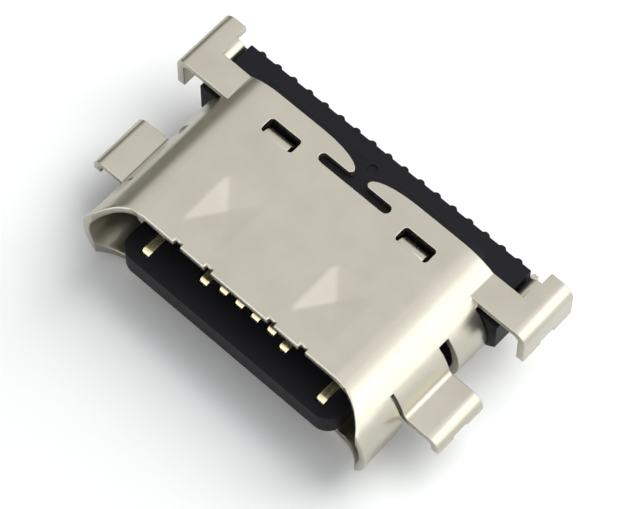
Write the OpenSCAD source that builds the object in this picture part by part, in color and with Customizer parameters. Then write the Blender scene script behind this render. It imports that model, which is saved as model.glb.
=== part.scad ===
// Sixteen-contact USB-C socket, sunk into a cut-out in a phone's charging board.
// Millimetres. The mouth faces -Y, the solder tails leave towards +Y and +Z is up.
// The origin is under the middle of the whole part, on the plane that the shell rests on.
// Inside the modules, Y = 0 is the shell's front edge and Z = 0 is the tongue's middle.

/* [Shell] */
// Width of the shell over its round sides
shell_w = 8.86; // [8.8:0.01:8.92]
// Height of the shell
shell_h = 3.08; // [3.04:0.01:3.12]
// Thickness of the folded steel sheet
sheet_t = 0.22; // [0.2:0.01:0.23]
// Length of the shell's top, from front edge to rear edge
top_len = 4.47; // [4.42:0.01:4.5]
// Length of the shell's bottom flap
flap_len = 4.57; // [4.54:0.01:4.6]
// Length of the round sides below the rear ears
side_len = 3.89; // [3.82:0.01:3.9]

/* [Front lips] */
// How far the round sides stand forward of the front edge
lip_len = 0.60; // [0.5:0.01:0.7]
// How far the lips flare outwards
lip_flare = 0.04; // [0.02:0.01:0.08]
// Half the width of the straight front edge between the lips
lip_start = 3.00; // [2.95:0.01:3.1]

/* [Pressed dimples] */
// Distance of each dimple from the middle
dimple_x = 1.69; // [1.6:0.01:1.75]
// Width of a dimple
dimple_w = 1.22; // [1.1:0.01:1.3]
// Distance from the front edge to the dimple
dimple_front = 0.49; // [0.4:0.01:0.6]
// Length of a dimple
dimple_len = 1.63; // [1.5:0.01:1.7]
// Depth of a dimple at its lowest point
dimple_depth = 0.20; // [0.1:0.01:0.2]

/* [Windows and keyhole] */
// Distance of each latch window from the middle
window_x = 2.09; // [2:0.01:2.2]
// Width of a latch window
window_w = 0.95; // [0.9:0.01:1]
// Length of a latch window
window_len = 0.43; // [0.4:0.01:0.45]
// Middle of the latch windows, from the front edge
window_y = 3.69; // [3.66:0.01:3.7]
// Half the length of the keyhole's cross slot
slot_half = 1.09; // [1:0.01:1.15]
// Width of the keyhole's cross slot
slot_w = 0.25; // [0.2:0.01:0.26]
// Middle of the keyhole's cross slot, from the front edge
slot_y = 3.92; // [3.9:0.01:3.94]

/* [Ears] */
// Half the width over the ears' legs
ear_reach = 5.45; // [5.4:0.01:5.5]
// Front end of the middle ears
mid_ear_y = 0.77; // [0.7:0.01:0.8]
// Width of the middle ears along the shell
mid_ear_len = 1.55; // [1.4:0.01:1.6]
// Front end of the rear ears
rear_ear_y = 3.67; // [3.64:0.01:3.7]
// Width of the rear ears along the shell
rear_ear_len = 1.70; // [1.6:0.01:1.75]
// Height of the rear ears' flat top above the tongue's middle
rear_ear_top = 1.25; // [1.22:0.01:1.27]

/* [Tongue and housing] */
// Width of the tongue
tongue_w = 6.69; // [6.6:0.01:6.75]
// Thickness of the tongue
tongue_t = 0.70; // [0.68:0.01:0.72]
// Front face of the housing's plug, from the front edge
plug_front = 3.32; // [3.28:0.01:3.35]
// Rear face of the housing, from the front edge
housing_rear = 5.12; // [5.08:0.01:5.16]
// Half the width of the housing behind the shell
housing_half = 4.65; // [4.6:0.01:4.68]
// Clearance between the housing's plug and the shell
fit_gap = 0.01; // [0.005:0.005:0.015]

/* [Contacts] */
// Spacing of the solder tails
tail_pitch = 0.50; // [0.5:0.5]
// Width of a contact
contact_w = 0.25; // [0.2:0.01:0.26]
// Width of a solder tail
tail_w = 0.28; // [0.25:0.01:0.3]
// Thickness of the contacts' strip
contact_t = 0.12; // [0.1:0.01:0.13]
// End of the solder tails, from the front edge
tail_end = 5.50; // [5.4:0.01:5.55]

/* [Hidden] */
$fn = 48;

half_h = shell_h / 2;
inner_w = shell_w - 2 * sheet_t;
inner_h = shell_h - 2 * sheet_t;
round_x = (shell_w - shell_h) / 2;
middle_y = (tail_end - lip_len) / 2;
far = 10;

// Round corners between the straight front edge and the lips, and the edge's small nicks
scoop_r = 1.35;
nick_x = [0.98, 1.94];
nick_w = 0.20;
nick_depth = 0.10;

// The dimple's lowest point lies 40% of its length in front of its rear edge
dimple_low_y = dimple_front + 0.6 * dimple_len;
window_r = 0.10;
lance_w = 0.75;
lance_r = 0.05;
lance_leg = 0.16;
lance_angle = 50;

// Keyhole: the gap between the two horns behind the cross slot
horn_gap = 0.22;
horn_root = 1.45;
horn_tip_r = 0.10;

// Butt joint along the middle of the shell's bottom, with two dovetails
seam_w = 0.03;
seam_path = [[0, slot_y], [0, 2.85], [0.5, 3.05], [0.5, 2.15], [0, 2.35],
             [0, 1.70], [-0.5, 1.90], [-0.5, 1.00], [0, 1.20], [0, -0.1]];

// Bottom flap behind the round sides: half its width, and its corners' slant
flap_half = 2.93;
flap_slant = 0.23;

// Ears: the sheet's inner bend radius, and the windows that the middle ears leave
bend_r = 0.15;
ear_window_x = 3.06;
ear_window_front = 0.10;
ear_window_rear = 0.30;
relief_top = 1.00;
mid_ear_tip = -0.30;
mid_hinge_z = sheet_t + bend_r;
rear_ear_tip = 0.08;
rear_tab_x = 4.40;
rear_flange_len = 0.55;
rear_cut_y = 3.60;
fork_w = 0.45;
fork_depth = 0.15;

// Tongue, its thick root and the latch notches in its sides
tongue_r = 0.45;
root_w = 7.60;
root_t = 1.30;
root_front = 2.22;
latch_y = 0.80;
latch_len = 0.90;
latch_depth = 0.28;

// Housing behind the shell
housing_low = -0.45;
housing_top = 1.20;
side_block_top = rear_ear_top - sheet_t - bend_r - 0.03;
corner_cut = 0.35;
rib_r = 0.12;
rib_proud = 0.06;
rib_half_count = 8;
gate_mark = [0, 4.52];
gate_mark_r = 0.15;
gate_mark_depth = 0.04;
plug_end = flap_len + 0.15;

// Contacts: the board's surface is at Z = 0, halfway up the socket
board_z = 0;
contact_proud = 0.01;
layer_z = tongue_t / 2 + contact_proud - contact_t;
jog_front = 2.47;
jog_rear = 3.47;
drop_front = 4.54;
drop_len = 0.20;

// Mid plate
plate_t = 0.12;
plate_rear = 4.32;
arm_front = 3.97;
leg_x = 4.20;
leg_t = 0.15;
leg_top = 0.42;

// The four tip positions: ground contacts reach furthest, then supply, then signals
function tip_y(x) = abs(x) > 2 ? -0.32 : abs(x) > 1 ? 0.04 : 0.17;

// Each contact: [name, row (1 upper, -1 lower), place on the tongue, place in the tail row]
CONTACTS = [
    ["contact_a1", 1, -2.75, -7.5], ["contact_b12", -1, -2.75, -6.5],
    ["contact_a4", 1, -1.25, -5.5], ["contact_b9", -1, -1.25, -4.5],
    ["contact_b8", -1, -0.75, -3.5], ["contact_a5", 1, -0.75, -2.5],
    ["contact_b7", -1, -0.25, -1.5], ["contact_a6", 1, -0.25, -0.5],
    ["contact_a7", 1, 0.25, 0.5], ["contact_b6", -1, 0.25, 1.5],
    ["contact_a8", 1, 0.75, 2.5], ["contact_b5", -1, 0.75, 3.5],
    ["contact_b4", -1, 1.25, 4.5], ["contact_a9", 1, 1.25, 5.5],
    ["contact_b1", -1, 2.75, 6.5], ["contact_a12", 1, 2.75, 7.5]];

// ---- helpers ----

function to_micron(x) = round(x * 1000) / 1000;

module in_frame() translate([0, -middle_y, half_h]) children();

module both_sides() {
    children();
    mirror([1, 0, 0]) children();
}

// A flat outline drawn in X and Z, run along Y
module along_y(y0, y1) translate([0, y1, 0]) rotate([90, 0, 0]) linear_extrude(y1 - y0) children();

// A flat outline drawn in Y and Z, run along X
module along_x(x0, x1) translate([x0, 0, 0]) rotate([90, 0, 90]) linear_extrude(x1 - x0) children();

// A plan outline, run up Z
module along_z(z0, z1) translate([0, 0, z0]) linear_extrude(z1 - z0) children();

module stadium(w, h) {
    square([w - h, h], center = true);
    for (s = [-1, 1]) translate([s * (w - h) / 2, 0]) circle(d = h);
}

module round_rect(w, d, r) {
    square([w - 2 * r, d], center = true);
    square([w, d - 2 * r], center = true);
    for (x = [-1, 1], y = [-1, 1])
        translate([x * (w / 2 - r), y * (d / 2 - r)]) circle(r);
}

// A quarter of a bent sheet: centre of the bend, inner radius, and the quadrant it fills
module bend(c, r, qx, qz) translate(c) intersection() {
    difference() { circle(r + sheet_t); circle(r); }
    translate([qx < 0 ? -far : 0, qz < 0 ? -far : 0]) square(far);
}

module stroke(a, b, w) {
    d = b - a;
    translate(a) rotate(atan2(d[1], d[0])) translate([-w / 2, -w / 2]) square([norm(d) + w, w]);
}

// ---- shell ----

// Pyramid with its base at height z, its point dimple_depth lower, and a slab above the base
module pressed_point(z, above) {
    x0 = dimple_x - dimple_w / 2;
    x1 = dimple_x + dimple_w / 2;
    y0 = dimple_front;
    y1 = dimple_front + dimple_len;
    polyhedron(
        points = [[x0, y0, z + above], [x1, y0, z + above], [x1, y1, z + above], [x0, y1, z + above],
                  [x0, y0, z], [x1, y0, z], [x1, y1, z], [x0, y1, z],
                  [dimple_x, dimple_low_y, z - dimple_depth]],
        faces = [[3, 2, 1, 0], [0, 1, 5, 4], [1, 2, 6, 5], [2, 3, 7, 6], [3, 0, 4, 7],
                 [4, 5, 8], [5, 6, 8], [6, 7, 8], [7, 4, 8]]);
}

// What the concave corners and the straight front edge cut away in front of the shell
module mouth_outline() {
    translate([-lip_start, -far]) square([2 * lip_start, far]);
    for (s = [-1, 1]) translate([s * lip_start, -scoop_r]) circle(scoop_r);
    for (s = [-1, 1], x = nick_x)
        translate([s * x - nick_w / 2, -nick_depth]) square([nick_w, 2 * nick_depth]);
}

// A round side's end, belled a little and standing forward of the front edge
module front_lip() intersection() {
    steps = 5;
    outer = [for (i = [0:steps]) [half_h + lip_flare * pow(i / steps, 2), lip_len * i / steps]];
    inner = [for (i = [steps:-1:0]) outer[i] - [sheet_t, 0]];
    translate([round_x, 0, 0]) rotate([90, 0, 0]) rotate_extrude() polygon(concat(outer, inner));
    translate([round_x, -far, -far]) cube(2 * far);
}

// Cross slot, and the flared gap between two horns that opens it to the rear edge
module keyhole_outline(rear_y) {
    translate([0, slot_y]) stadium(2 * slot_half, slot_w);
    edge_y = slot_y + slot_w / 2;
    tip_y = edge_y + horn_tip_r;
    sweep = [for (t = [90:15:180])
        [horn_root + (horn_root - horn_gap) * cos(t), tip_y + (rear_y - tip_y) * sin(t)]];
    tip = [for (t = [15:15:90])
        [horn_gap + horn_tip_r * (1 - cos(t)), tip_y - horn_tip_r * sin(t)]];
    right = concat([[horn_root, far]], sweep, tip, [[horn_gap + horn_tip_r, slot_y]]);
    polygon(concat(right, [for (i = [len(right) - 1:-1:0]) [-right[i][0], right[i][1]]]));
}

module window_outlines() for (s = [-1, 1])
    translate([s * window_x, window_y]) round_rect(window_w, window_len, window_r);

// Cross section of a lance: bent inwards about the origin, from the sheet's own thickness
module lance_section() {
    outer_r = lance_r + sheet_t;
    intersection() {
        difference() { circle(outer_r); circle(lance_r); }
        polygon([[0, 0], [0, far], [far * tan(lance_angle), far]]);
    }
    rotate(-lance_angle) translate([0, lance_r]) square([lance_leg, sheet_t]);
    translate([-0.05, lance_r]) square([0.06, sheet_t]);
}

// Tongue of sheet lanced from a window, hinged at its front edge and bent inwards
module lance()
    translate([0, window_y - window_len / 2, half_h - sheet_t - lance_r])
        along_x(window_x - lance_w / 2, window_x + lance_w / 2) lance_section();

// What the rear end loses on each side: the low wall, and the flap's slanted corner
module rear_corner_outline() polygon([[flap_half, far], [flap_half, flap_len],
    [flap_half + flap_slant, side_len], [far, side_len], [far, far]]);

// Cross section of a middle ear: down the side, out, and down again
module mid_ear_section() {
    wall_x = to_micron(round_x + sqrt(pow(half_h, 2) - pow(mid_hinge_z, 2)));
    tab_end = ear_reach - sheet_t - bend_r;
    bend([wall_x + bend_r, mid_hinge_z], bend_r, -1, -1);
    translate([wall_x - sheet_t, mid_hinge_z - 0.01]) square([sheet_t, 0.04]);
    translate([wall_x + bend_r, board_z]) square([tab_end - wall_x - bend_r, sheet_t]);
    bend([tab_end, board_z - bend_r], bend_r, 1, 1);
    translate([ear_reach - sheet_t, mid_ear_tip]) square([sheet_t, board_z - bend_r - mid_ear_tip]);
}

// Cross section of a rear ear's outer bend and leg
module rear_leg_section() {
    tab_end = ear_reach - sheet_t - bend_r;
    z0 = rear_ear_top - sheet_t - bend_r;
    bend([tab_end, z0], bend_r, 1, 1);
    translate([ear_reach - sheet_t, rear_ear_tip]) square([sheet_t, z0 - rear_ear_tip]);
}

// Plan of a rear ear's flat top: out of the round side, then past the shell's rear edge
module rear_tab_outline() {
    root_x = 3.70;
    flange_x = rear_tab_x + sheet_t + bend_r;
    tab_end = ear_reach - sheet_t - bend_r;
    translate([root_x, rear_ear_y]) square([tab_end - root_x, top_len - rear_ear_y]);
    translate([flange_x, rear_ear_y]) square([tab_end - flange_x, rear_ear_len]);
}

// Cross section of a rear ear's inner edge, rolled down behind the shell's rear edge
module rear_flange_section()
    bend([rear_tab_x + sheet_t + bend_r, rear_ear_top - sheet_t - bend_r], bend_r, -1, 1);

module fork(y0, len, tip) translate([ear_reach - 2 * sheet_t, y0 + (len - fork_w) / 2, tip - fork_depth])
    cube([3 * sheet_t, fork_w, 2 * fork_depth]);

module ear_window() {
    y0 = mid_ear_y - ear_window_front;
    y1 = mid_ear_y + mid_ear_len + ear_window_rear;
    translate([ear_window_x, y0, -far]) cube([far, y1 - y0, far + mid_hinge_z]);
    translate([ear_window_x, y0, -far]) cube([far, ear_window_front, far + relief_top]);
    translate([ear_window_x, y1 - ear_window_rear, -far])
        cube([far, ear_window_rear, far + relief_top]);
}

module ears() both_sides() {
    difference() {
        union() {
            along_y(mid_ear_y, mid_ear_y + mid_ear_len) mid_ear_section();
            along_y(rear_ear_y, rear_ear_y + rear_ear_len) rear_leg_section();
            along_z(rear_ear_top - sheet_t, rear_ear_top) rear_tab_outline();
            along_y(top_len, top_len + rear_flange_len) rear_flange_section();
        }
        fork(mid_ear_y, mid_ear_len, mid_ear_tip);
        fork(rear_ear_y, rear_ear_len, rear_ear_tip);
    }
}

module dimples(z, above) for (m = [0, 1]) mirror([0, 0, m]) both_sides() pressed_point(z, above);

module shell() color("silver") in_frame() {
    difference() {
        union() {
            along_y(0, flap_len) difference() {
                stadium(shell_w, shell_h);
                stadium(inner_w, inner_h);
            }
            both_sides() front_lip();
            dimples(inner_h / 2, 0.05);
        }
        dimples(half_h, far);
        along_z(-far, far) mouth_outline();
        along_z(0, far) translate([-far, top_len]) square(2 * far);
        both_sides() along_z(-far, rear_ear_top - sheet_t) rear_corner_outline();
        both_sides() translate([round_x, rear_cut_y, housing_low - 0.02])
            cube([far, far, rear_ear_top - sheet_t - housing_low + 0.02]);
        both_sides() ear_window();
        along_z(0, far) keyhole_outline(top_len);
        along_z(-far, 0) keyhole_outline(flap_len);
        along_z(-far, far) window_outlines();
        along_z(-far, 0) for (i = [1:len(seam_path) - 1])
            stroke(seam_path[i - 1], seam_path[i], seam_w);
    }
    for (m = [0, 1]) mirror([0, 0, m]) both_sides() lance();
    ears();
}

// ---- contacts ----

module contact_body(c) {
    row = c[1];
    x0 = c[2];
    x1 = c[3] * tail_pitch;
    w = contact_w / 2;
    z = row > 0 ? layer_z : -layer_z - contact_t;
    along_z(z, z + contact_t) polygon([
        [x0 - w, tip_y(x0)], [x0 + w, tip_y(x0)], [x0 + w, jog_front], [x1 + w, jog_rear],
        [x1 + w, drop_front], [x1 - w, drop_front], [x1 - w, jog_rear], [x0 - w, jog_front]]);
    along_x(x1 - tail_w / 2, x1 + tail_w / 2) polygon([
        [drop_front - 0.05, z], [drop_front, z],
        [drop_front + drop_len, board_z], [tail_end, board_z],
        [tail_end, board_z + contact_t], [drop_front + drop_len, board_z + contact_t],
        [drop_front, z + contact_t], [drop_front - 0.05, z + contact_t]]);
}

module contact(name) for (c = CONTACTS) if (c[0] == name)
    color("goldenrod") in_frame() contact_body(c);

// ---- mid plate ----

module mid_plate_body() {
    along_z(-plate_t / 2, plate_t / 2) {
        translate([-tongue_w / 2 + 0.12, -0.45]) square([tongue_w - 0.24, plate_rear + 0.45]);
        both_sides() translate([0, arm_front]) square([leg_x + leg_t, plate_rear - arm_front]);
    }
    both_sides() along_x(leg_x, leg_x + leg_t) polygon([
        [arm_front, -plate_t / 2], [tail_end, -plate_t / 2], [tail_end, 0.25],
        [tail_end - 0.25, leg_top], [housing_rear - 0.3, leg_top],
        [plate_rear, plate_t / 2], [arm_front, plate_t / 2]]);
}

module mid_plate() color("lightgrey") in_frame() difference() {
    mid_plate_body();
    both_sides() latch_notch(latch_depth);
}

module latch_notch(depth)
    translate([tongue_w / 2 - depth, latch_y, -far]) cube([far, latch_len, 2 * far]);

// ---- contact carriers ----

module upper_carrier_body() difference() {
    union() {
        translate([-3.0, 0.3, plate_t / 2]) cube([6.0, 3.52, layer_z - plate_t / 2]);
        translate([-3.95, 3.57, plate_t / 2]) cube([7.9, 0.7, 0.62]);
    }
    for (c = CONTACTS) if (c[1] > 0) contact_body(c);
}

module upper_carrier() color("dimgrey") in_frame() upper_carrier_body();

module lower_carrier_body() difference() {
    mirror([0, 0, 1]) union() {
        translate([-3.0, 0.3, plate_t / 2]) cube([6.0, 3.52, layer_z - plate_t / 2]);
        translate([-3.5, 3.57, plate_t / 2]) cube([7.0, 0.7, 0.62]);
    }
    for (c = CONTACTS) if (c[1] < 0) contact_body(c);
}

module lower_carrier() color("dimgrey") in_frame() lower_carrier_body();

// ---- housing ----

module tongue() {
    difference() {
        union() {
            along_z(-tongue_t / 2, tongue_t / 2)
                translate([0, (plug_front + 1 - lip_len) / 2])
                    round_rect(tongue_w, plug_front + 1 + lip_len, tongue_r);
            along_y(root_front, plug_front + 0.1) square([root_w, root_t], center = true);
        }
        both_sides() latch_notch(latch_depth);
    }
}

module housing_plug() along_y(plug_front, plug_end)
    stadium(inner_w - 2 * fit_gap, inner_h - 2 * fit_gap);

// Pockets under the latch windows, for the shell's lances
module lance_pockets() for (m = [0, 1]) mirror([0, 0, m]) both_sides()
    translate([window_x - window_w / 2, window_y - window_len / 2 - 0.3, 0.80])
        cube([window_w, window_len + 0.3, far]);

// Block behind the shell, its side blocks under the rear ears, and its comb-like rear edge
module rear_block() {
    side_y = rear_cut_y + 0.02;
    top_y = top_len + 0.02;
    top_half = rear_tab_x - 0.03;
    difference() {
        union() {
            translate([-housing_half, side_y, housing_low])
                cube([2 * housing_half, housing_rear - side_y, side_block_top - housing_low]);
            translate([-top_half, top_y, 0]) cube([2 * top_half, housing_rear - top_y, housing_top]);
        }
        both_sides() translate([housing_half, housing_rear, -far])
            rotate(45) cube([corner_cut, corner_cut, 2 * far], center = true);
        both_sides() translate([housing_half, 0, housing_low])
            rotate([0, 45, 0]) cube([corner_cut, 4 * far, corner_cut], center = true);
    }
    for (i = [-rib_half_count:rib_half_count])
        translate([i * tail_pitch, housing_rear + rib_proud - rib_r, 0.2]) cylinder(r = rib_r, h = housing_top - 0.2);
}

module housing() color([0.13, 0.13, 0.15]) in_frame() difference() {
    union() {
        tongue();
        housing_plug();
        rear_block();
    }
    lance_pockets();
    translate([gate_mark[0], gate_mark[1], inner_h / 2 - fit_gap - gate_mark_depth])
        cylinder(r = gate_mark_r, h = 1);
    mid_plate_body();
    upper_carrier_body();
    lower_carrier_body();
    for (c = CONTACTS) contact_body(c);
}

shell();
housing();
upper_carrier();
lower_carrier();
mid_plate();
for (c = CONTACTS) contact(c[0]);
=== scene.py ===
"""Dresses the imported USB-C socket for rendering and export.

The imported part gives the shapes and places. Each operator finishes one piece,
or one group of like pieces, and the last one builds the stage.
"""

import math

import bmesh
import bpy
from bpy.props import FloatProperty, FloatVectorProperty, PointerProperty
from mathutils import Matrix, Vector


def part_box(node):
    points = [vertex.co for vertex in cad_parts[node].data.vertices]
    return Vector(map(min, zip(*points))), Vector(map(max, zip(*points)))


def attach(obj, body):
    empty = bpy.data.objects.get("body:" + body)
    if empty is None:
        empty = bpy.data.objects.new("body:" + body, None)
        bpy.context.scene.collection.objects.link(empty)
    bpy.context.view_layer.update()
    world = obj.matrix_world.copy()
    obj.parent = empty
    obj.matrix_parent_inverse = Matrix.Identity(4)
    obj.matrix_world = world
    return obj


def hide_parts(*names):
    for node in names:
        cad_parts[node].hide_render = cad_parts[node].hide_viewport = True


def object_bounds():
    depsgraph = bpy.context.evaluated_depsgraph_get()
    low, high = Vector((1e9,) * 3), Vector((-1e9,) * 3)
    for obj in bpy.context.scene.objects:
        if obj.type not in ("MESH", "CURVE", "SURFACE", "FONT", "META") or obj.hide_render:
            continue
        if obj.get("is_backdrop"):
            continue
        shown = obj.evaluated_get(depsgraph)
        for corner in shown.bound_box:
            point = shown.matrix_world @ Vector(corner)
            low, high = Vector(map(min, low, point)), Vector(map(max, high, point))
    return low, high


bl_info = {
    "name": "USB-C socket dresser",
    "version": (1, 0, 0),
    "blender": (4, 5, 0),
    "location": "3D View > Sidebar > Socket",
    "description": "Finishes a mid-mount USB-C socket: folded shell, moulded housing, contacts",
    "category": "Object",
}

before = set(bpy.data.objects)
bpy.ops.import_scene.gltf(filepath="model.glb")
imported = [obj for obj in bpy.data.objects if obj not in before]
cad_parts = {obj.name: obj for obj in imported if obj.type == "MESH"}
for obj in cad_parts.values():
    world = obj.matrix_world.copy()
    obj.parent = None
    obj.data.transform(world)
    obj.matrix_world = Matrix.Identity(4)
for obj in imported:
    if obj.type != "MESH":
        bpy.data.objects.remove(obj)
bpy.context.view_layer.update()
BODY = "root"
MM = 0.001

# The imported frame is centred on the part; these are the drawing's zero lines in it
FRONT_EDGE_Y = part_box("housing")[0].y + 0.60 * MM
BOARD_Z = 1.54 * MM

# The round sides' axis, from the middle
ROUND_X = 2.89 * MM

# The contacts' tails stand in this order from left to right. Each pair in it, one upper and
# one lower contact, shares a place across the tongue
TAIL_ORDER = "a1 b12 a4 b9 b8 a5 b7 a6 a7 b6 a8 b5 b4 a9 b1 a12".split()
BLADE_X = [x * MM for x in (-2.75, -1.25, -0.75, -0.25, 0.25, 0.75, 1.25, 2.75)]
TAIL_PITCH = 0.5 * MM
TONGUE_HALF = 0.35 * MM
CONTACT_PROUD = 0.01 * MM

# Where each contact jogs sideways and drops to the board, behind the shell's front edge
JOG_FRONT, JOG_REAR = 2.47 * MM, 3.47 * MM
DROP_FRONT, DROP_REAR = 4.54 * MM, 4.74 * MM

# A CAD mesh is joined with these: closer points are one, shorter edges go, and faces that
# turn less are one flat face
SAME_POINT = 0.009 * MM
TINY_EDGE = 0.01 * MM
FLAT_TURN = math.radians(0.05)

# A pressed crease turns at least the first. An edge that turns at least the second is
# rounded, except that an inner one stays sharp from the third on
CREASE_TURN = math.radians(4)
CORNER_TURN = math.radians(30)
STEEP_TURN = math.radians(60)

# No rounding starts from a face thinner than a needle, or from an edge shorter than a stub
# that meets a steep inner corner
NEEDLE_WIDTH = 0.02 * MM
NEEDLE_REACH = 3
STUB_LENGTH = 0.05 * MM

# A noise texture's values lie mostly in this range
NOISE_LOW, NOISE_HIGH = 0.3, 0.7

# How wide an edge is rounded: shares of the widest, which is three times the plain one
PRESSED, ROLLED, PLAIN = 1.0, 0.67, 0.33
WIDEST_TO_PLAIN = 3


# ---- small helpers ----


def linear(hex_colour):
    """An sRGB hex colour as linear RGBA."""
    channels = [int(hex_colour[i : i + 2], 16) / 255 for i in (1, 3, 5)]
    return [
        c / 12.92 if c <= 0.04045 else ((c + 0.055) / 1.055) ** 2.4 for c in channels
    ] + [1.0]


def add_node(tree, kind, settings=None, **links):
    """Adds a node, sets its attributes, and sets or links its inputs.

    An input is given by its name, with _ for a space, or as i0, i1 and so on by its number.
    """
    node = tree.nodes.new(kind)
    for key, value in (settings or {}).items():
        setattr(node, key, value)
    for key, value in links.items():
        numbered = key[0] == "i" and key[1:].isdigit()
        socket = node.inputs[int(key[1:]) if numbered else key.replace("_", " ")]
        if isinstance(value, bpy.types.NodeSocket):
            tree.links.new(value, socket)
        else:
            socket.default_value = value
    return node


def new_material(name):
    """An empty node material with its output."""
    material = bpy.data.materials.new(name)
    material.use_nodes = True
    material.node_tree.nodes.clear()
    output = material.node_tree.nodes.new("ShaderNodeOutputMaterial")
    return material, material.node_tree, output


def new_object(name, data):
    """An object in the scene that shows the data."""
    made = bpy.data.objects.new(name, data)
    bpy.context.scene.collection.objects.link(made)
    return made


def settings_of(context):
    """The sizes and colours in the sidebar."""
    return context.scene.usbc_socket


# ---- materials ----


def plated_steel(look):
    """Deep-drawn stainless strip under a dull nickel flash.

    Rolling leaves fine lines along the strip, plating rounds them off, so the face is a
    satin warm grey with soft reflections and a faint streak along X.
    """
    material, tree, output = new_material("nickel_plated_steel")
    place = add_node(tree, "ShaderNodeTexCoord").outputs["Object"]
    line_gap, line_length, cloud_size = 0.04 * MM, 0.8 * MM, 1.0 * MM
    rolled = add_node(
        tree, "ShaderNodeMapping", i0=place, Scale=(1 / line_length, 1 / line_gap, 1 / line_gap)
    )
    lines = add_node(
        tree, "ShaderNodeTexNoise", Vector=rolled.outputs[0], Scale=1.0, Detail=3.0
    )
    # Cloudy plating, in patches
    cloud = add_node(tree, "ShaderNodeTexNoise", Vector=place, Scale=1 / cloud_size, Detail=4.0)
    tone = add_node(
        tree, "ShaderNodeMix", {"data_type": "RGBA"}, i0=cloud.outputs["Fac"],
        i6=linear("#B9B4A6"), i7=linear("#CAC6B9"),
    )
    rough = add_node(
        tree, "ShaderNodeMapRange", Value=lines.outputs["Fac"], i1=NOISE_LOW, i2=NOISE_HIGH,
        i3=look.steel_roughness - 0.02, i4=look.steel_roughness + 0.03,
    )
    bump = add_node(
        tree, "ShaderNodeBump", Strength=0.04, Distance=0.002 * MM, Height=lines.outputs["Fac"]
    )
    shader = add_node(
        tree, "ShaderNodeBsdfPrincipled", Base_Color=tone.outputs[2], Metallic=1.0,
        Roughness=rough.outputs[0], Normal=bump.outputs[0],
    )
    tree.links.new(shader.outputs[0], output.inputs[0])
    return material


def gold_flash():
    """Thin gold over nickel on bronze: pale yellow and bright, with wipe marks along Y."""
    material, tree, output = new_material("gold_flashed_bronze")
    place = add_node(tree, "ShaderNodeTexCoord").outputs["Object"]
    # 33 wipe marks to a millimetre
    mark_gap, mark_length = MM / 33, 0.625 * MM
    wiped = add_node(
        tree, "ShaderNodeMapping", i0=place, Scale=(1 / mark_gap, 1 / mark_length, 1 / mark_gap)
    )
    marks = add_node(
        tree, "ShaderNodeTexNoise", Vector=wiped.outputs[0], Scale=1.0, Detail=2.0
    )
    tone = add_node(
        tree, "ShaderNodeMix", {"data_type": "RGBA"}, i0=marks.outputs["Fac"],
        i6=linear("#DED2A4"), i7=linear("#EFE6C2"),
    )
    rough = add_node(
        tree, "ShaderNodeMapRange", Value=marks.outputs["Fac"], i1=NOISE_LOW, i2=NOISE_HIGH,
        i3=0.2, i4=0.34,
    )
    shader = add_node(
        tree, "ShaderNodeBsdfPrincipled", Base_Color=tone.outputs[2], Metallic=1.0,
        Roughness=rough.outputs[0],
    )
    tree.links.new(shader.outputs[0], output.inputs[0])
    return material


def black_lcp(look):
    """Glass-filled liquid-crystal polymer, injection moulded.

    Near-black and dull: the spark-eroded mould leaves a fine grain on its skin, and the
    flow of the filled melt leaves faint clouds.
    """
    material, tree, output = new_material("moulded_black_lcp")
    place = add_node(tree, "ShaderNodeTexCoord").outputs["Object"]
    # 33 grains to a millimetre, and three clouds to two
    grain_size, cloud_size = MM / 33, MM / 1.5
    grain = add_node(tree, "ShaderNodeTexNoise", Vector=place, Scale=1 / grain_size, Detail=3.0)
    flow = add_node(tree, "ShaderNodeTexNoise", Vector=place, Scale=1 / cloud_size, Detail=2.0)
    tone = add_node(
        tree, "ShaderNodeMix", {"data_type": "RGBA"}, i0=flow.outputs["Fac"],
        i6=linear("#0B0B0F"), i7=linear("#131318"),
    )
    rough = add_node(
        tree, "ShaderNodeMapRange", Value=grain.outputs["Fac"], i1=NOISE_LOW, i2=NOISE_HIGH,
        i3=look.housing_roughness - 0.06, i4=look.housing_roughness + 0.08,
    )
    bump = add_node(
        tree, "ShaderNodeBump", Strength=0.25, Distance=0.003 * MM, Height=grain.outputs["Fac"]
    )
    shader = add_node(
        tree, "ShaderNodeBsdfPrincipled", Base_Color=tone.outputs[2], Roughness=rough.outputs[0],
        Specular_IOR_Level=0.18, Normal=bump.outputs[0],
    )
    tree.links.new(shader.outputs[0], output.inputs[0])
    return material


def matt_board(look):
    """White paper-faced board: dead matt, lifted a little where the camera sees it."""
    material, tree, output = new_material("matt_white_board")
    path = add_node(tree, "ShaderNodeLightPath")
    matt = add_node(tree, "ShaderNodeBsdfDiffuse", Color=(*look.background, 1.0))
    lift = add_node(
        tree, "ShaderNodeMath", {"operation": "MULTIPLY"}, i0=path.outputs["Is Camera Ray"],
        i1=look.floor_lift,
    )
    glow = add_node(
        tree, "ShaderNodeEmission", Color=(1.0, 1.0, 1.0, 1.0), Strength=lift.outputs[0]
    )
    both = add_node(tree, "ShaderNodeAddShader", i0=matt.outputs[0], i1=glow.outputs[0])
    tree.links.new(both.outputs[0], output.inputs[0])
    return material


def grey_card():
    """Uncoated grey card, quite matt, so that it mirrors as one even tone."""
    material, tree, output = new_material("grey_card")
    grey = add_node(tree, "ShaderNodeBsdfDiffuse", Color=linear("#7A786F"))
    tree.links.new(grey.outputs[0], output.inputs[0])
    return material


# ---- geometry ----


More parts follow.
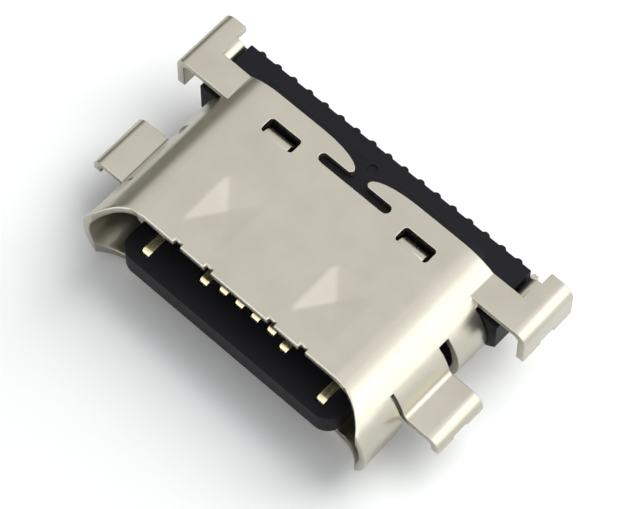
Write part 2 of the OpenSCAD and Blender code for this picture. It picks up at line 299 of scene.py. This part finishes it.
def joined_copy(node, name):
    """A CAD node's mesh with its loose triangles joined and its flat faces made whole."""
    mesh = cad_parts[node].data.copy()
    mesh.name = name
    shape = bmesh.new()
    shape.from_mesh(mesh)
    bmesh.ops.remove_doubles(shape, verts=shape.verts, dist=SAME_POINT)
    bmesh.ops.dissolve_degenerate(shape, edges=shape.edges, dist=TINY_EDGE)
    bmesh.ops.dissolve_limit(
        shape, angle_limit=FLAT_TURN, verts=shape.verts, edges=shape.edges
    )
    shape.to_mesh(mesh)
    shape.free()
    return new_object(name, mesh)


def is_needle(face, edge):
    """True for a face so thin along an edge that its direction means nothing."""
    longest = max(side.calc_length() for side in face.edges)
    thin = 2 * face.calc_area() / longest < NEEDLE_WIDTH
    return thin and longest <= NEEDLE_REACH * edge.calc_length()


def flat_shading(piece):
    """Keeps broad faces flat beside the narrow round ones."""
    normals = piece.modifiers.new("Flat faces stay flat", "WEIGHTED_NORMAL")
    normals.weight = 50
    normals.keep_sharp = True


def soften(piece, width, pressed=None, rolled=None, sheared=None):
    """Rounds the outer edges, and shades curved faces smooth between them.

    pressed, rolled and sheared are optional tests of an edge's two ends. A crease that is
    pressed is rounded three times as wide, as a punch leaves it, and an edge that is rolled
    twice as wide. A sheared edge stays sharp.
    """
    shape = bmesh.new()
    shape.from_mesh(piece.data)
    weight = shape.edges.layers.float.new("bevel_weight_edge")
    inner = {
        vertex for edge in shape.edges
        if edge.calc_face_angle(0.0) > STEEP_TURN and not edge.is_convex
        for vertex in edge.verts
    }
    for edge in shape.edges:
        turn = edge.calc_face_angle(0.0)
        ends = [vertex.co for vertex in edge.verts]
        stub = edge.calc_length() < STUB_LENGTH and not inner.isdisjoint(edge.verts)
        if pressed and turn > CREASE_TURN and pressed(*ends):
            edge[weight] = PRESSED
        elif turn > CORNER_TURN:
            needle = any(is_needle(face, edge) for face in edge.link_faces)
            keen = needle or stub or (sheared and sheared(*ends))
            if (edge.is_convex or turn < STEEP_TURN) and not keen:
                edge[weight] = ROLLED if rolled and rolled(*ends) else PLAIN
            else:
                edge.smooth = False
    for face in shape.faces:
        face.smooth = True
    shape.to_mesh(piece.data)
    shape.free()
    bevel = piece.modifiers.new("Broken edges", "BEVEL")
    bevel.limit_method = "WEIGHT"
    bevel.width = width * WIDEST_TO_PLAIN
    bevel.segments = 3
    bevel.use_clamp_overlap = False
    bevel.loop_slide = False
    bevel.miter_outer = "MITER_ARC"
    flat_shading(piece)


def in_dimple(*ends):
    """True for the creases of the shell's four pressed dimples."""
    inner_x, outer_x = 1.0 * MM, 2.4 * MM
    front_y, rear_y = -2.0 * MM, -0.25 * MM
    off_middle = 1.05 * MM
    return all(
        inner_x < abs(end.x) < outer_x and front_y < end.y < rear_y
        and abs(end.z - BOARD_Z) > off_middle
        for end in ends
    )


def on_mouth(*ends):
    """True for the outer edge of the mouth and its lips, which the die rolled over."""
    rim_depth, outer_radius = 0.15 * MM, 1.48 * MM
    return all(
        end.y < FRONT_EDGE_Y + rim_depth
        and math.hypot(max(abs(end.x) - ROUND_X, 0), end.z - BOARD_Z) > outer_radius
        for end in ends
    )


def in_seam(*ends):
    """True for the edges of the dovetailed seam underneath the shell."""
    half_width, rear_y, sheet_top = 0.8 * MM, 1.3 * MM, 0.3 * MM
    return all(abs(end.x) < half_width and end.y < rear_y and end.z < sheet_top for end in ends)


def strip_tree():
    """Node tree that sweeps a flat strip, wide across and thin up, along a path of edges."""
    tree = bpy.data.node_groups.new("strip_along_path", "GeometryNodeTree")
    sockets = tree.interface
    sockets.new_socket("Path", in_out="INPUT", socket_type="NodeSocketGeometry")
    for name in ("Width", "Thickness", "Bend radius", "Edge round"):
        sockets.new_socket(name, in_out="INPUT", socket_type="NodeSocketFloat")
    sockets.new_socket("Material", in_out="INPUT", socket_type="NodeSocketMaterial")
    sockets.new_socket("Strip", in_out="OUTPUT", socket_type="NodeSocketGeometry")
    given = tree.nodes.new("NodeGroupInput").outputs
    line = add_node(tree, "GeometryNodeMeshToCurve", Mesh=given["Path"])
    bent = add_node(
        tree, "GeometryNodeFilletCurve", {"mode": "POLY"}, Curve=line.outputs[0], Count=5,
        Radius=given["Bend radius"], Limit_Radius=True,
    )
    level = add_node(tree, "GeometryNodeSetCurveNormal", {"mode": "Z_UP"}, Curve=bent.outputs[0])
    section = add_node(
        tree, "GeometryNodeCurvePrimitiveQuadrilateral", Width=given["Width"],
        Height=given["Thickness"],
    )
    rounded = add_node(
        tree, "GeometryNodeFilletCurve", {"mode": "POLY"}, Curve=section.outputs[0], Count=3,
        Radius=given["Edge round"], Limit_Radius=True,
    )
    swept = add_node(
        tree, "GeometryNodeCurveToMesh", Curve=level.outputs[0], Profile_Curve=rounded.outputs[0],
        Fill_Caps=True,
    )
    real = add_node(tree, "GeometryNodeRealizeInstances", Geometry=swept.outputs[0])
    dressed = add_node(
        tree, "GeometryNodeSetMaterial", Geometry=real.outputs[0], Material=given["Material"]
    )
    add_node(tree, "NodeGroupOutput", Strip=dressed.outputs[0])
    return tree


def strip_piece(name, points, tree, **inputs):
    """A plain mesh of the strip that the tree sweeps along the points.

    The tree's other inputs are given by name, with _ for a space.
    """
    path = bpy.data.meshes.new(name)
    path.from_pydata(points, [(i, i + 1) for i in range(len(points) - 1)], [])
    strip = new_object(name, path)
    sweep = strip.modifiers.new("Strip", "NODES")
    sweep.node_group = tree
    for item in tree.interface.items_tree:
        key = item.name.replace(" ", "_")
        if item.in_out == "INPUT" and key in inputs:
            sweep[item.identifier] = inputs[key]
    solid = bpy.data.meshes.new_from_object(
        strip.evaluated_get(bpy.context.evaluated_depsgraph_get())
    )
    strip.modifiers.remove(sweep)
    strip.data = solid
    bpy.data.meshes.remove(path)
    solid.name = name
    return strip


def placed(piece, material, node):
    """Gives a finished piece its material and its body, and hides the CAD node it stands for."""
    piece.data.materials.clear()
    piece.data.materials.append(material)
    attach(piece, BODY)
    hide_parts(node)


def contact_path(name, look):
    """The middle line of a contact: rolled tip, blade on the tongue, jog, drop and solder tail."""
    low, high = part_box("contact_" + name)
    tail = TAIL_ORDER.index(name)
    blade_x = BLADE_X[tail // 2]
    tail_x = (tail - (len(TAIL_ORDER) - 1) / 2) * TAIL_PITCH
    half = look.thickness / 2
    side = 1 if name.startswith("a") else -1
    blade_z = BOARD_Z + side * (TONGUE_HALF + CONTACT_PROUD - half)
    tail_z = BOARD_Z + half
    tip = low.y
    return [
        Vector((blade_x, tip + half, blade_z - side * look.tip_drop)),
        Vector((blade_x, tip + look.tip_roll, blade_z)),
        Vector((blade_x, FRONT_EDGE_Y + JOG_FRONT, blade_z)),
        Vector((tail_x, FRONT_EDGE_Y + JOG_REAR, blade_z)),
        Vector((tail_x, FRONT_EDGE_Y + DROP_FRONT, blade_z)),
        Vector((tail_x, FRONT_EDGE_Y + DROP_REAR, tail_z)),
        Vector((tail_x, high.y, tail_z)),
    ]


# ---- stage ----


def lay_floor(look):
    """A board a hair below the part, so that its bottom and the board don't share a plane."""
    half, gap = 400 * MM, 0.003 * MM
    mesh = bpy.data.meshes.new("floor")
    mesh.from_pydata(
        [(-half, -half, -gap), (half, -half, -gap), (half, half, -gap), (-half, half, -gap)],
        [], [(0, 1, 2, 3)],
    )
    mesh.materials.append(matt_board(look))
    floor = new_object("floor", mesh)
    floor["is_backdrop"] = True


def stand_dark_card():
    """A low dark card on the left, seen only in the plating."""
    x, half_width, height = -30 * MM, 60 * MM, 14 * MM
    mesh = bpy.data.meshes.new("dark_card")
    mesh.from_pydata(
        [(x, -half_width, 0), (x, half_width, 0), (x, half_width, height), (x, -half_width, height)],
        [], [(0, 1, 2, 3)],
    )
    mesh.materials.append(grey_card())
    card = new_object("dark_card", mesh)
    card.visible_camera = card.visible_diffuse = card.visible_shadow = False
    card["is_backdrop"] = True


def light_room(look):
    """A room that is white to the camera and in reflections, and dim on matt surfaces."""
    world = bpy.data.worlds.new("soft_room")
    bpy.context.scene.world = world
    world.use_nodes = True
    tree = world.node_tree
    tree.nodes.clear()
    path = add_node(tree, "ShaderNodeLightPath")
    seen = add_node(
        tree, "ShaderNodeMath", {"operation": "MAXIMUM"}, i0=path.outputs["Is Camera Ray"],
        i1=path.outputs["Is Glossy Ray"],
    )
    seen = add_node(
        tree, "ShaderNodeMath", {"operation": "MAXIMUM"}, i0=seen.outputs[0],
        i1=path.outputs["Is Transmission Ray"],
    )
    level = add_node(
        tree, "ShaderNodeMapRange", Value=seen.outputs[0], i1=0.0, i2=1.0,
        i3=look.fill_level, i4=1.0,
    )
    sky = add_node(
        tree, "ShaderNodeBackground", Color=(1.0, 1.0, 1.0, 1.0), Strength=level.outputs[0]
    )
    add_node(tree, "ShaderNodeOutputWorld", Surface=sky.outputs[0])


def softbox(name, centre, direction, size, radiance, seen_in_gloss, tint=(1.0, 1.0, 1.0)):
    """A rectangular lamp that faces the part: seen in gloss alone, or lighting matt faces."""
    distance = 90 * MM
    light = bpy.data.lights.new(name, "AREA")
    light.shape = "RECTANGLE"
    light.size, light.size_y = size
    # An area lamp's face is as bright as a quarter of its power per unit of area
    light.energy = 4 * radiance * size[0] * size[1]
    light.color = tint
    lamp = new_object(name, light)
    back = Vector(direction).normalized()
    across = Vector((0, 0, 1)).cross(back).normalized()
    lamp.matrix_world = (
        Matrix.Translation(centre + back * distance)
        @ Matrix((across, back.cross(across), back)).transposed().to_4x4()
    )
    lamp.visible_camera = False
    lamp.visible_glossy = seen_in_gloss
    lamp.visible_diffuse = not seen_in_gloss


def aim_camera(look, centre):
    """A camera that looks at the part's middle."""
    camera = new_object("camera", bpy.data.cameras.new("camera"))
    camera.data.lens = look.lens
    turn, rise = look.camera_azimuth, look.camera_elevation
    back = Vector(
        (math.sin(turn) * math.cos(rise), -math.cos(turn) * math.cos(rise), math.sin(rise))
    )
    distance = look.field * look.lens / camera.data.sensor_width
    camera.location = centre + back * distance
    camera.rotation_mode = "QUATERNION"
    camera.rotation_quaternion = (-back).to_track_quat("-Z", "Y")
    camera.data.clip_start, camera.data.clip_end = 1 * MM, 2000 * MM
    bpy.context.scene.camera = camera


# ---- sizes and colours that a user would change ----


class SocketShellSizes(bpy.types.PropertyGroup):
    edge_round: FloatProperty(
        name="Edge round", description="Radius left on the sheet's stamped edges",
        default=0.022 * MM, min=0.0, max=0.05 * MM, unit="LENGTH", precision=6,
    )
    steel_roughness: FloatProperty(
        name="Steel roughness", description="Roughness of the plated sheet",
        default=0.3, min=0.05, max=0.8, subtype="FACTOR",
    )


class SocketHousingSizes(bpy.types.PropertyGroup):
    edge_round: FloatProperty(
        name="Edge round", description="Radius that the mould leaves on the housing's edges",
        default=0.02 * MM, min=0.0, max=0.05 * MM, unit="LENGTH", precision=6,
    )
    housing_roughness: FloatProperty(
        name="Plastic roughness", description="Roughness of the moulded plastic",
        default=0.5, min=0.1, max=1.0, subtype="FACTOR",
    )


class SocketContactSizes(bpy.types.PropertyGroup):
    width: FloatProperty(
        name="Width", description="Width of a contact", default=0.25 * MM, min=0.1 * MM,
        unit="LENGTH", precision=6,
    )
    thickness: FloatProperty(
        name="Thickness", description="Thickness of the contacts' strip", default=0.12 * MM,
        min=0.05 * MM, unit="LENGTH", precision=6,
    )
    bend_radius: FloatProperty(
        name="Bend radius", description="Radius of the bends along a contact",
        default=0.12 * MM, min=0.0, unit="LENGTH", precision=6,
    )
    edge_round: FloatProperty(
        name="Edge round", description="Radius left on the strip's edges",
        default=0.02 * MM, min=0.0, unit="LENGTH", precision=6,
    )
    tip_roll: FloatProperty(
        name="Tip roll", description="Length over which the tip rolls into the plastic",
        default=0.16 * MM, min=0.0, unit="LENGTH", precision=6,
    )
    tip_drop: FloatProperty(
        name="Tip drop", description="How far the rolled tip goes down",
        default=0.09 * MM, min=0.0, unit="LENGTH", precision=6,
    )


class SocketStageSizes(bpy.types.PropertyGroup):
    camera_azimuth: FloatProperty(
        name="Camera azimuth", description="Angle of the camera round the part",
        default=math.radians(42.6), subtype="ANGLE",
    )
    camera_elevation: FloatProperty(
        name="Camera elevation", description="Angle of the camera above the horizon",
        default=math.radians(64.0), subtype="ANGLE",
    )
    lens: FloatProperty(
        name="Lens", description="Focal length in millimetres", default=200.0, min=50.0
    )
    field: FloatProperty(
        name="Field of view", description="Width that the picture covers at the part",
        default=14.5 * MM, unit="LENGTH", precision=5,
    )
    key_level: FloatProperty(
        name="Rear key", description="Brightness of the lamp behind and above the part",
        default=3.3, min=0.0,
    )
    overhead_level: FloatProperty(
        name="Overhead fill", description="Brightness of the lamp over the part",
        default=0.85, min=0.0,
    )
    sheen_level: FloatProperty(
        name="Overhead sheen", description="Brightness of the panel that the pressed slopes mirror",
        default=0.24, min=0.0,
    )
    side_level: FloatProperty(
        name="Side sheen", description="Brightness of the panel that the right side mirrors",
        default=0.85, min=0.0,
    )
    front_level: FloatProperty(
        name="Front sheen", description="Brightness of the panel that the rolled edges mirror",
        default=1.0, min=0.0,
    )
    fill_level: FloatProperty(
        name="Room", description="Brightness of the room's light on matt surfaces",
        default=0.15, min=0.0,
    )
    floor_lift: FloatProperty(
        name="Floor lift", description="Light that the floor adds for the camera alone",
        default=0.12, min=0.0,
    )
    background: FloatVectorProperty(
        name="Floor", description="Colour of the floor", subtype="COLOR", size=3,
        default=linear("#F2F2F0")[:3], min=0.0, max=1.0,
    )


class UsbcSocket(bpy.types.PropertyGroup):
    shell: PointerProperty(type=SocketShellSizes)
    housing: PointerProperty(type=SocketHousingSizes)
    contacts: PointerProperty(type=SocketContactSizes)
    stage: PointerProperty(type=SocketStageSizes)


# ---- operators ----


class SOCKET_OT_shell(bpy.types.Operator):
    """Finish the folded steel shell"""

    bl_idname = "usbc.shell"
    bl_label = "Folded shell"

    def execute(self, context):
        look = settings_of(context).shell
        piece = joined_copy("shell", "folded_shell")
        soften(piece, look.edge_round, in_dimple, on_mouth, in_seam)
        placed(piece, plated_steel(look), "shell")
        return {"FINISHED"}


class SOCKET_OT_housing(bpy.types.Operator):
    """Finish the moulded housing and the two contact carriers inside it"""

    bl_idname = "usbc.housing"
    bl_label = "Housing"

    def execute(self, context):
        look = settings_of(context).housing
        plastic = black_lcp(look)
        piece = joined_copy("housing", "moulded_housing")
        soften(piece, look.edge_round)
        placed(piece, plastic, "housing")
        for node in ("upper_carrier", "lower_carrier"):
            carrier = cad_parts[node]
            carrier.data.materials.clear()
            carrier.data.materials.append(plastic)
        return {"FINISHED"}


class SOCKET_OT_mid_plate(bpy.types.Operator):
    """Finish the steel plate in the tongue's middle"""

    bl_idname = "usbc.mid_plate"
    bl_label = "Mid plate"

    def execute(self, context):
        look = settings_of(context).shell
        piece = joined_copy("mid_plate", "latch_plate")
        soften(piece, look.edge_round)
        placed(piece, plated_steel(look), "mid_plate")
        return {"FINISHED"}


class SOCKET_OT_contacts(bpy.types.Operator):
    """Sweep the sixteen contacts along their paths, from the tongue to the board"""

    bl_idname = "usbc.contacts"
    bl_label = "Contacts"

    def execute(self, context):
        look = settings_of(context).contacts
        gold = gold_flash()
        tree = strip_tree()
        for name in sorted(TAIL_ORDER):
            piece = strip_piece(
                "gilt_contact_" + name, contact_path(name, look), tree, Width=look.width,
                Thickness=look.thickness, Bend_radius=look.bend_radius,
                Edge_round=look.edge_round, Material=gold,
            )
            piece.data.shade_smooth()
            flat_shading(piece)
            placed(piece, gold, "contact_" + name)
        return {"FINISHED"}


class SOCKET_OT_stage(bpy.types.Operator):
    """Lay the floor, hang the soft lights and place the camera"""

    bl_idname = "usbc.stage"
    bl_label = "Stage"

    def execute(self, context):
        look = settings_of(context).stage
        lowest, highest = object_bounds()
        centre = (lowest + highest) / 2
        lay_floor(look)
        stand_dark_card()
        light_room(look)

        # Two lamps light the matt faces
        softbox(
            "rear_key", centre, (0.25, 0.55, 0.80), (80 * MM, 80 * MM), look.key_level, False
        )
        softbox(
            "overhead_fill", centre, (0.3, 0.1, 0.95), (110 * MM, 110 * MM),
            look.overhead_level, False, (0.88, 0.95, 1.0),
        )

        # Three panels are mirrored by the plating
        softbox(
            "overhead_sheen", centre, (0.42, -0.10, 0.9), (150 * MM, 110 * MM),
            look.sheen_level, True,
        )
        softbox(
            "side_sheen", centre, (0.80, 0.30, 0.50), (140 * MM, 100 * MM),
            look.side_level, True,
        )
        softbox(
            "front_sheen", centre, (-0.25, -0.90, 0.35), (110 * MM, 60 * MM),
            look.front_level, True,
        )
        aim_camera(look, centre)
        context.scene.view_settings.view_transform = "Standard"
        return {"FINISHED"}


class SOCKET_PT_panel(bpy.types.Panel):
    """Sizes and steps of the socket"""

    bl_label = "USB-C socket"
    bl_idname = "SOCKET_PT_panel"
    bl_space_type = "VIEW_3D"
    bl_region_type = "UI"
    bl_category = "Socket"

    def draw(self, context):
        look = settings_of(context)
        for title, group, operators in (
            ("Shell", look.shell, ("usbc.shell", "usbc.mid_plate")),
            ("Housing", look.housing, ("usbc.housing",)),
            ("Contacts", look.contacts, ("usbc.contacts",)),
            ("Stage", look.stage, ("usbc.stage",)),
        ):
            box = self.layout.box()
            box.label(text=title)
            for name in group.__annotations__:
                box.prop(group, name)
            for operator in operators:
                box.operator(operator)


CLASSES = (
    SocketShellSizes, SocketHousingSizes, SocketContactSizes, SocketStageSizes, UsbcSocket,
    SOCKET_OT_shell, SOCKET_OT_housing, SOCKET_OT_mid_plate, SOCKET_OT_contacts,
    SOCKET_OT_stage, SOCKET_PT_panel,
)


def register():
    for item in CLASSES:
        bpy.utils.register_class(item)
    bpy.types.Scene.usbc_socket = PointerProperty(type=UsbcSocket)


def unregister():
    del bpy.types.Scene.usbc_socket
    for item in reversed(CLASSES):
        bpy.utils.unregister_class(item)


def main():
    """Registers the add-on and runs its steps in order."""
    register()
    bpy.ops.usbc.shell()
    bpy.ops.usbc.housing()
    bpy.ops.usbc.mid_plate()
    bpy.ops.usbc.contacts()
    bpy.ops.usbc.stage()


if __name__ == "__main__":
    main()
